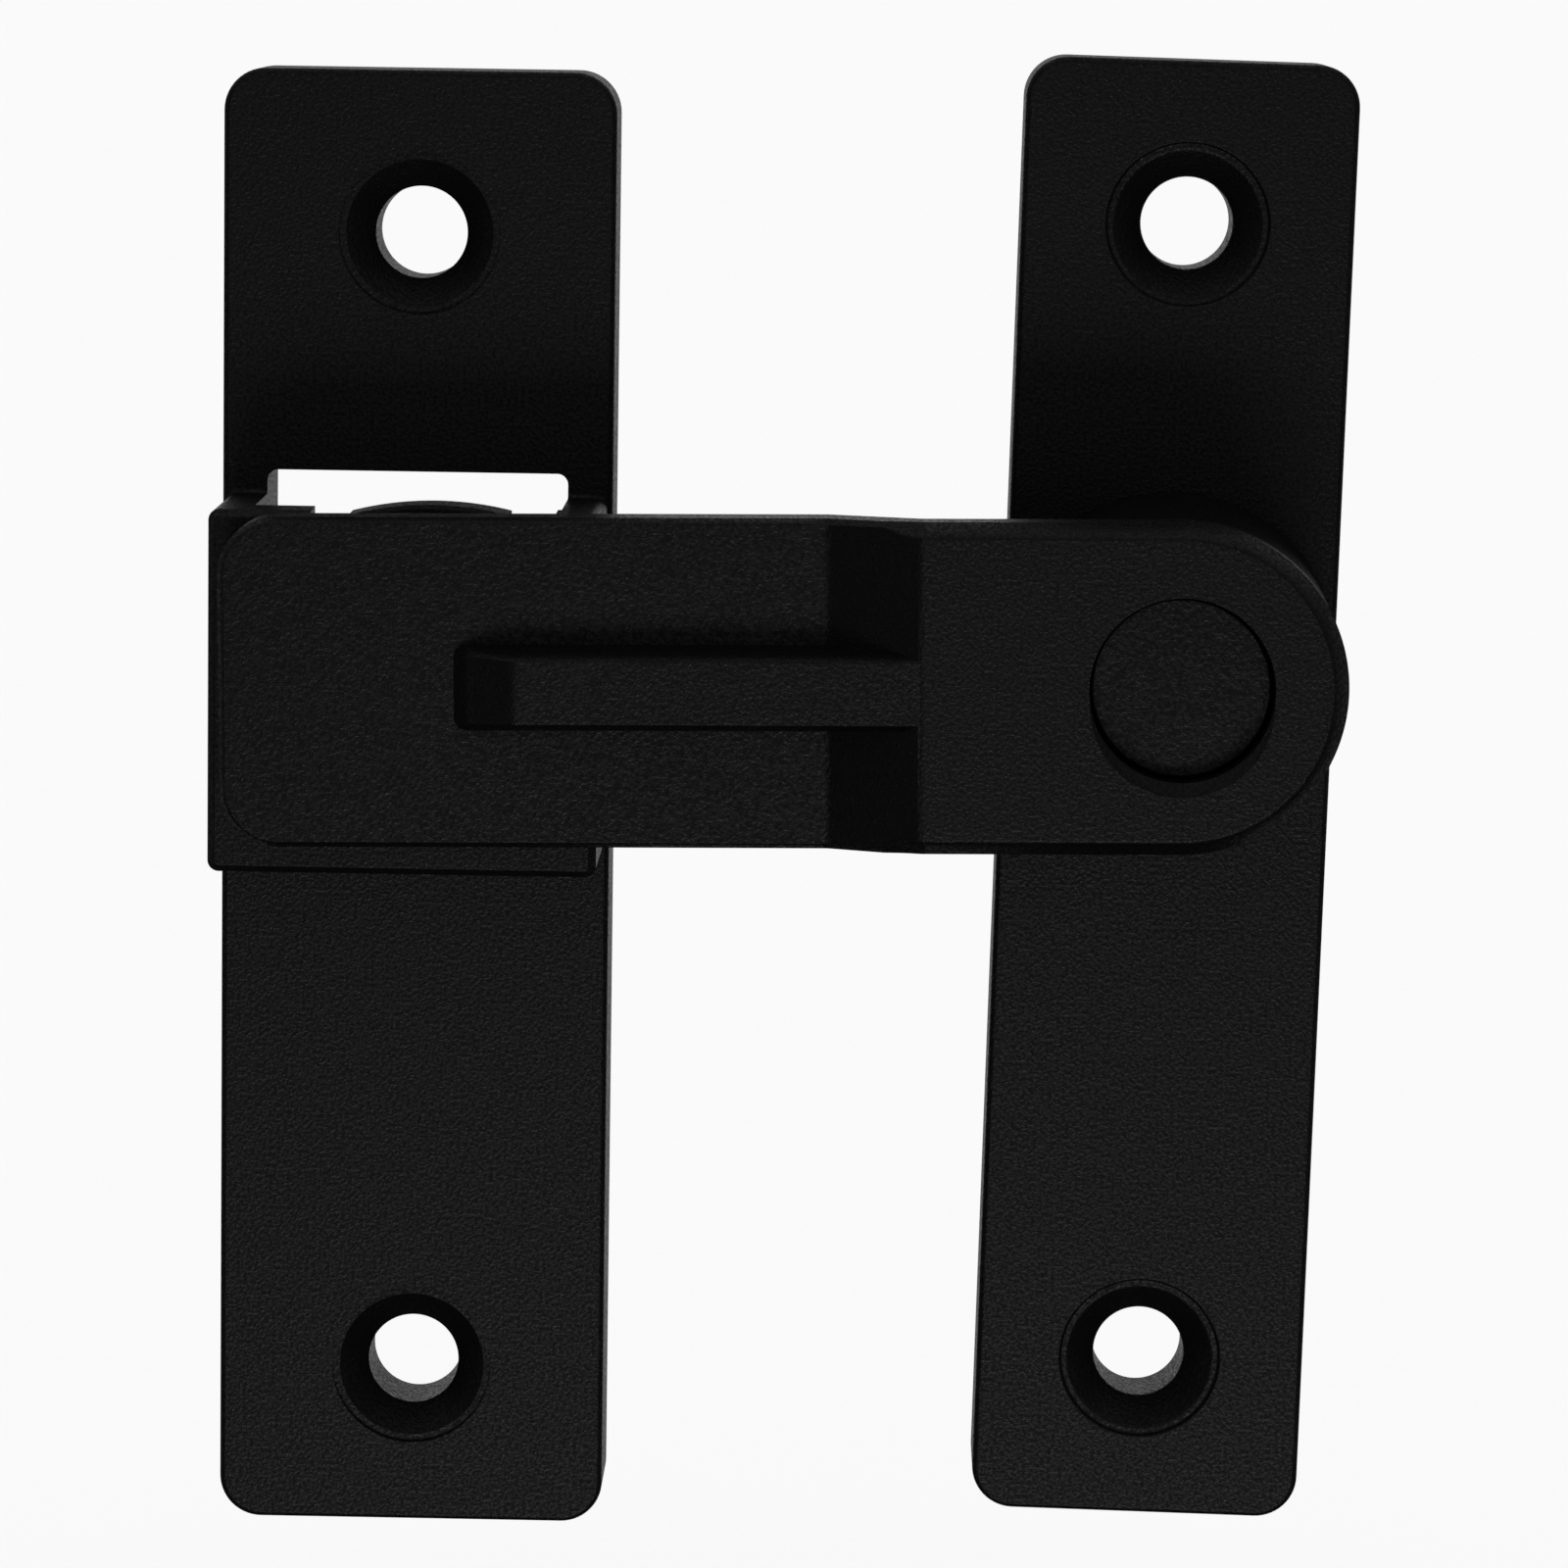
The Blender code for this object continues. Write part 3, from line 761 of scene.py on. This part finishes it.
def two_tone(tree, factor, dark, light):
    node = tree.nodes.new("ShaderNodeMix")
    node.data_type = "RGBA"
    node.inputs["A"].default_value = (*dark, 1)
    node.inputs["B"].default_value = (*light, 1)
    tree.links.new(factor, node.inputs["Factor"])
    return node.outputs["Result"]


def bumped(tree, height, distance, strength, below=None):
    node = tree.nodes.new("ShaderNodeBump")
    node.inputs["Distance"].default_value = distance
    node.inputs["Strength"].default_value = strength
    tree.links.new(height, node.inputs["Height"])
    if below:
        tree.links.new(below, node.inputs["Normal"])
    return node.outputs["Normal"]


COAT_GRAIN = 0.1 * MM
COAT_GRAIN_RELIEF = 0.06 * MM
COAT_PEEL = 0.7 * MM
COAT_PEEL_RELIEF = 0.03 * MM
COAT_PATCHES = 9 * MM


def powder_coat():
    """Fine-textured satin black powder coat: close grain over a slow orange peel."""
    material, tree, shader, coordinates = new_material("black_powder_coat_look")
    grain = noise(tree, coordinates, COAT_GRAIN, 2.0, 0.6)
    peel = noise(tree, coordinates, COAT_PEEL, 1.0)
    patches = noise(tree, coordinates, COAT_PATCHES, 3.0)
    tone = multiplied(tree, remapped(tree, grain, 0.38, 0.62, 0.0, 1.0),
                      remapped(tree, patches, 0.3, 0.7, 0.8, 1.0))
    colour = two_tone(tree, tone, (0.001, 0.001, 0.0011), (0.014, 0.014, 0.0143))
    tree.links.new(colour, shader.inputs["Base Color"])
    tree.links.new(remapped(tree, grain, 0.38, 0.62, 0.6, 0.28), shader.inputs["Roughness"])
    shader.inputs["IOR"].default_value = 1.5
    slow = bumped(tree, peel, COAT_PEEL_RELIEF, 0.6)
    close = bumped(tree, grain, COAT_GRAIN_RELIEF, 1.0, slow)
    tree.links.new(close, shader.inputs["Normal"])
    return material


def brushed_metal(name, dark, light, roughness):
    """Bare or plated metal with fine scratches and dull patches."""
    material, tree, shader, coordinates = new_material(name)
    scratches = noise(tree, coordinates, 0.05 * MM, 4.0, 0.7)
    patches = noise(tree, coordinates, 1.5 * MM, 3.0)
    tree.links.new(two_tone(tree, patches, dark, light), shader.inputs["Base Color"])
    tree.links.new(remapped(tree, patches, 0.3, 0.7, roughness - 0.07, roughness + 0.1),
                   shader.inputs["Roughness"])
    shader.inputs["Metallic"].default_value = 1.0
    tree.links.new(bumped(tree, scratches, 0.004 * MM, 0.5), shader.inputs["Normal"])
    return material


def moulded_acetal():
    """Off-white moulded plastic, a little cloudy, with a waxy gloss."""
    material, tree, shader, coordinates = new_material("white_acetal_look")
    clouds = noise(tree, coordinates, 2 * MM, 2.0)
    texture = noise(tree, coordinates, 0.1 * MM, 2.0)
    colour = two_tone(tree, clouds, (0.66, 0.65, 0.6), (0.76, 0.75, 0.71))
    tree.links.new(colour, shader.inputs["Base Color"])
    tree.links.new(remapped(tree, texture, 0.3, 0.7, 0.38, 0.5), shader.inputs["Roughness"])
    tree.links.new(bumped(tree, texture, 0.004 * MM, 0.5), shader.inputs["Normal"])
    return material


# ------------------------------------------------------------- stage, light, camera
FLOOR_BELOW = 14 * MM
FLOOR_RADIUS = 12.0
CAMERA_PLACE = Vector((-16.09, -346.53, 46.88)) * MM
CAMERA_YAW = math.radians(0.791)
CAMERA_TILT = math.radians(7.768)
CAMERA_ROLL = math.radians(0.877)
CAMERA_LENS = 144.0
BACKDROP_LIGHT = 0.5
SKY_LIGHT = 0.17
SIDE_LIGHT = 0.14
FRONT_LIGHT = 0.14
AMBIENT_LIGHT = 0.002
KEY_PLACE = (0.02, -0.54, -0.36)
KEY_SIZE = (0.4, 0.24)
KEY_POWER = 0.46


def make_floor():
    """A wide pale floor, white enough to pass for the seamless background."""
    shape = bmesh.new()
    bmesh.ops.create_circle(shape, cap_ends=True, segments=64, radius=FLOOR_RADIUS)
    floor = make_object("floor", shape)
    floor.location = (0, 0, KEEPER_LOW.z - FLOOR_BELOW)
    material = bpy.data.materials.new("pale_floor")
    material.use_nodes = True
    shader = material.node_tree.nodes["Principled BSDF"]
    shader.inputs["Base Color"].default_value = (0.9, 0.9, 0.9, 1)
    shader.inputs["Roughness"].default_value = 1.0
    shader.inputs["Specular IOR Level"].default_value = 0.0
    shader.inputs["Emission Color"].default_value = (1, 1, 1, 1)
    shader.inputs["Emission Strength"].default_value = 0.8
    floor.data.materials.append(material)
    floor.visible_diffuse = False
    floor.visible_glossy = False
    floor.visible_shadow = False


def make_world():
    """Soft studio surround, white to the camera: brightest behind, weaker elsewhere."""
    world = bpy.data.worlds.new("studio")
    bpy.context.scene.world = world
    world.use_nodes = True
    tree = world.node_tree
    background = tree.nodes["Background"]
    direction = tree.nodes.new("ShaderNodeTexCoord").outputs["Generated"]
    split = tree.nodes.new("ShaderNodeSeparateXYZ")
    tree.links.new(direction, split.inputs[0])

    def lobe(value, low, high, brightness):
        node = tree.nodes.new("ShaderNodeMapRange")
        node.interpolation_type = "SMOOTHSTEP"
        node.inputs["From Min"].default_value = low
        node.inputs["From Max"].default_value = high
        node.inputs["To Min"].default_value = 0.0
        node.inputs["To Max"].default_value = brightness
        tree.links.new(value, node.inputs["Value"])
        return node.outputs["Result"]

    def add(first, second):
        node = tree.nodes.new("ShaderNodeMath")
        node.operation = "ADD"
        tree.links.new(first, node.inputs[0])
        tree.links.new(second, node.inputs[1])
        return node.outputs["Value"]

    sideways = tree.nodes.new("ShaderNodeMath")
    sideways.operation = "ABSOLUTE"
    tree.links.new(split.outputs["X"], sideways.inputs[0])
    behind = lobe(split.outputs["Y"], 0.5, 1.0, BACKDROP_LIGHT)
    above = lobe(split.outputs["Z"], 0.2, 0.8, SKY_LIGHT)
    beside = lobe(sideways.outputs["Value"], 0.85, 1.0, SIDE_LIGHT)
    before = lobe(split.outputs["Y"], -0.8, -1.0, FRONT_LIGHT)
    around = lobe(split.outputs["Z"], -1.0, -0.5, AMBIENT_LIGHT)
    light = add(add(add(behind, before), above), add(beside, around))
    seen = tree.nodes.new("ShaderNodeLightPath").outputs["Is Camera Ray"]
    mix = tree.nodes.new("ShaderNodeMix")
    tree.links.new(seen, mix.inputs["Factor"])
    tree.links.new(light, mix.inputs["A"])
    mix.inputs["B"].default_value = 1.0
    tree.links.new(mix.outputs["Result"], background.inputs["Strength"])
    background.inputs["Color"].default_value = (1, 1, 1, 1)


def make_softbox(name, place, size, power):
    """A rectangular area light that faces the origin."""
    light = bpy.data.lights.new(name, "AREA")
    light.shape = "RECTANGLE"
    light.size, light.size_y = size
    light.energy = power
    box = bpy.data.objects.new(name, light)
    box.location = place
    box.rotation_euler = (-Vector(place)).to_track_quat("-Z", "Y").to_euler()
    box.visible_camera = False
    bpy.context.scene.collection.objects.link(box)


def make_camera():
    camera = bpy.data.objects.new("camera", bpy.data.cameras.new("camera"))
    camera.data.sensor_width = 36
    camera.data.lens = CAMERA_LENS
    camera.matrix_world = (Matrix.Translation(CAMERA_PLACE)
                           @ Matrix.Rotation(CAMERA_YAW, 4, "Z")
                           @ Matrix.Rotation(math.radians(90) - CAMERA_TILT, 4, "X")
                           @ Matrix.Rotation(CAMERA_ROLL, 4, "Z"))
    bpy.context.scene.collection.objects.link(camera)
    bpy.context.scene.camera = camera


# --------------------------------------------------------------------------- scene
make_camera()
make_world()
make_floor()
make_softbox("key_softbox", KEY_PLACE, KEY_SIZE, KEY_POWER)
bpy.context.scene.view_settings.view_transform = "Standard"

coat = powder_coat()
zinc = brushed_metal("zinc_plated_look", (0.5, 0.51, 0.54), (0.62, 0.63, 0.65), 0.34)
spring = brushed_metal("spring_steel_look", (0.22, 0.22, 0.24), (0.32, 0.33, 0.35), 0.3)
acetal = moulded_acetal()

make_keeper_plate(coat)
make_pivot_plate(coat)
make_spacer(coat)
make_pivot_pin(coat)
make_washers(zinc, acetal)
make_wave_washer(spring)
make_latch_arm(coat)
make_catch_hook(coat)
